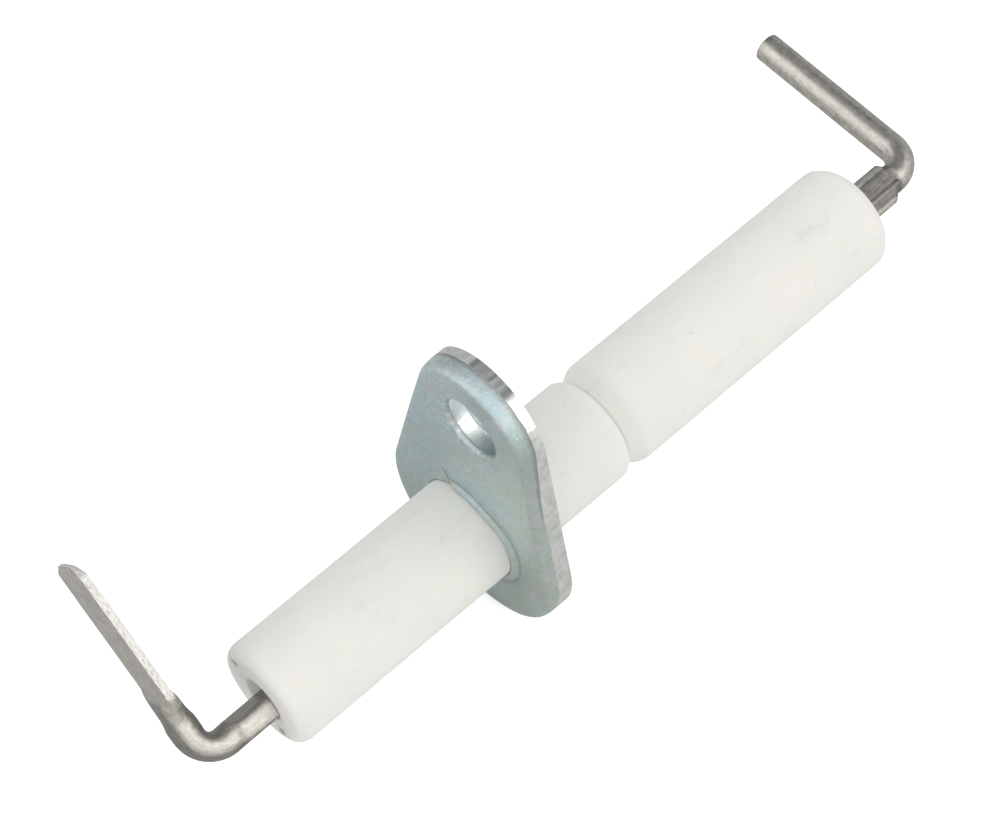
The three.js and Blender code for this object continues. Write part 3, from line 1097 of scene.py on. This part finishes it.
def rod_piece(material):
    """The wire, skinned over its stations, each point's place being (travelled, side, up)."""
    stations = rod_stations()
    points, places, marks, rows = [], [], [], []
    travelled = 0
    last = stations[0][0]
    for centre, along, side, ring, blade in stations:
        travelled += (centre - last).length
        last = centre
        up = along.cross(side)
        half_side = max(a for a, b in ring)
        pinched = in_pinch(centre, along)
        plain = (1 - pinched) * (1 - smooth(blade * 2))
        row = []
        for a, b in ring:
            point = centre + side * a + up * b
            on_edge = smooth((abs(a) - half_side + 0.1) / 0.05)
            # Painted shade and painted highlight bands of the round wire, and those of the pinch.
            painted_shade_band, painted_highlight_band = wire_bands((point - centre).normalized(), centre.x)
            dirt_and_painted_shade, burnish_and_painted_highlight = pinch_marks(point, hypot(a, b))
            row.append(len(points))
            points.append(tuple(point))
            places.append((travelled, a, b))
            marks.append((
                blade * on_edge,
                max(pinched * dirt_and_painted_shade, plain * painted_shade_band),
                max(pinched * burnish_and_painted_highlight, plain * painted_highlight_band),
            ))
        rows.append(row)
    faces = []
    for first, second in zip(rows, rows[1:]):
        faces += bridge(first, second)
    start, end = stations[0], stations[-1]
    faces += cap(points, places, marks, rows[0], start[0], (0, 0, 0))
    faces += cap(points, places, marks, rows[-1], end[0], (travelled, 0, 0))
    mesh_piece("rod_wire", points, faces, "electrode_rod", material,
               places, marks)


# ---- the object ----------------------------------------------------------------------------

WARM_WHITE = colour(0.88, 0.865, 0.82)
COOL_WHITE = colour(0.84, 0.84, 0.80)
# How far each slanted edge of a tube runs along it, and how deep it goes.
TERMINAL_TUBE_EDGE = (0.7, 0.6)
BURNER_JOINT_EDGE = (1.7, 1.0)
BURNER_END_EDGE = (1.1, 0.9)

tube_piece(
    "tube_terminal_side", "terminal_side_insulator",
    ceramic_material("ceramic_terminal", WARM_WHITE, COOL_WHITE),
    TUBE_RADIUS, TERMINAL_END, TERMINAL_TUBE_EDGE, JOINT, TERMINAL_TUBE_EDGE,
    pits=[(TERMINAL_END, 29, 4.2, 0.55), (TERMINAL_END, -127, 4.0, 0.55)],
)
tube_piece(
    "tube_burner_side", "burner_side_insulator",
    ceramic_material("ceramic_burner", WARM_WHITE, COOL_WHITE),
    BURNER_TUBE_RADIUS, JOINT, BURNER_JOINT_EDGE, BURNER_END, BURNER_END_EDGE,
    pits=[(39.5, 100, BURNER_TUBE_RADIUS, 0.25)],
)
flange_piece(flange_material())
rod_piece(rod_material())


# ---- floor, light and camera ---------------------------------------------------------------

FLOOR_HALF_WIDTH = 3.0
FLOOR_GAP = 0.2 * MM
LAMP_DISTANCE = 0.6
WORLD_STRENGTH = 0.72
# The darker side of the room, which only reflections show, and where it starts and ends.
DARK_SIDE = Vector((0.6, 0.7, 0.25)).normalized()
DARK_FROM, DARK_TO = 0.45, 0.92
LIT_STRENGTH, DARK_STRENGTH = 0.88, 0.3
LENS = 117.3
SENSOR_WIDTH = 36.0
# The camera's place is from the insulator's axis beside the flange.
CAMERA_PLACE = Vector((-95.95, -103.4, 265.5)) * MM
CAMERA_FORWARD = Vector((0.339, 0.362, -0.8685)).normalized()
CAMERA_UP = Vector((0.595, 0.632, 0.496))


def make_floor(height):
    """A square sheet of paper, which is part of the stage and not of the object."""
    half = FLOOR_HALF_WIDTH
    mesh = bpy.data.meshes.new("floor")
    corners = [
        (-half, -half, height),
        (half, -half, height),
        (half, half, height),
        (-half, half, height),
    ]
    mesh.from_pydata(corners, [], [(0, 1, 2, 3)])
    mesh.materials.append(floor_material())
    floor = bpy.data.objects.new("floor", mesh)
    bpy.context.scene.collection.objects.link(floor)
    floor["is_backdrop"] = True


def area_light(name, direction, size, power, tint):
    """A square softbox that looks at the insulator's axis beside the flange."""
    light = bpy.data.lights.new(name, "AREA")
    light.shape = "SQUARE"
    light.size = size
    light.energy = power
    light.color = tint
    lamp = bpy.data.objects.new(name, light)
    bpy.context.scene.collection.objects.link(lamp)
    towards = Vector(direction).normalized()
    lamp.location = AXIS + towards * LAMP_DISTANCE
    lamp.rotation_mode = "QUATERNION"
    lamp.rotation_quaternion = towards.to_track_quat("Z", "Y")


def studio_world():
    """A white room, darker on one side for the rays that metal mirrors."""
    world = bpy.data.worlds.new("studio")
    bpy.context.scene.world = world
    world.use_nodes = True
    nodes = world.node_tree.nodes
    links = world.node_tree.links
    place = nodes.new("ShaderNodeTexCoord").outputs["Generated"]
    away = nodes.new("ShaderNodeVectorMath")
    away.operation = "DOT_PRODUCT"
    links.new(place, away.inputs[0])
    away.inputs[1].default_value = DARK_SIDE
    ramp = nodes.new("ShaderNodeMapRange")
    ramp.interpolation_type = "SMOOTHSTEP"
    ramp.inputs["From Min"].default_value = DARK_FROM
    ramp.inputs["From Max"].default_value = DARK_TO
    ramp.inputs["To Min"].default_value = LIT_STRENGTH
    ramp.inputs["To Max"].default_value = DARK_STRENGTH
    links.new(away.outputs["Value"], ramp.inputs["Value"])
    path = nodes.new("ShaderNodeLightPath")
    strength = nodes.new("ShaderNodeMix")
    links.new(path.outputs["Is Glossy Ray"], strength.inputs["Factor"])
    strength.inputs["A"].default_value = WORLD_STRENGTH
    links.new(ramp.outputs[0], strength.inputs["B"])
    background = nodes["Background"]
    background.inputs["Color"].default_value = (1.0, 1.0, 1.0, 1.0)
    links.new(strength.outputs[0], background.inputs["Strength"])


def make_camera():
    """A long lens that looks down on the terminal's side."""
    data = bpy.data.cameras.new("camera")
    data.sensor_width = SENSOR_WIDTH
    data.lens = LENS
    data.clip_start = 0.01
    data.clip_end = 20.0
    camera = bpy.data.objects.new("camera", data)
    bpy.context.scene.collection.objects.link(camera)
    right = CAMERA_FORWARD.cross(CAMERA_UP).normalized()
    up = right.cross(CAMERA_FORWARD)
    turn = Matrix((right, up, -CAMERA_FORWARD)).transposed()
    camera.location = AXIS + CAMERA_PLACE
    camera.rotation_mode = "QUATERNION"
    camera.rotation_quaternion = turn.to_quaternion()
    bpy.context.scene.camera = camera


low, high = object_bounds()
make_floor(low.z - FLOOR_GAP)
studio_world()
area_light("key", (0.2, -0.65, 0.75), size=0.5, power=1.0, tint=(1.0, 0.98, 0.94))
area_light("fill", (-0.58, 0.36, 0.73), size=0.3, power=0.35, tint=(0.96, 0.98, 1.0))
make_camera()
bpy.context.scene.view_settings.view_transform = "Standard"

low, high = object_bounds()
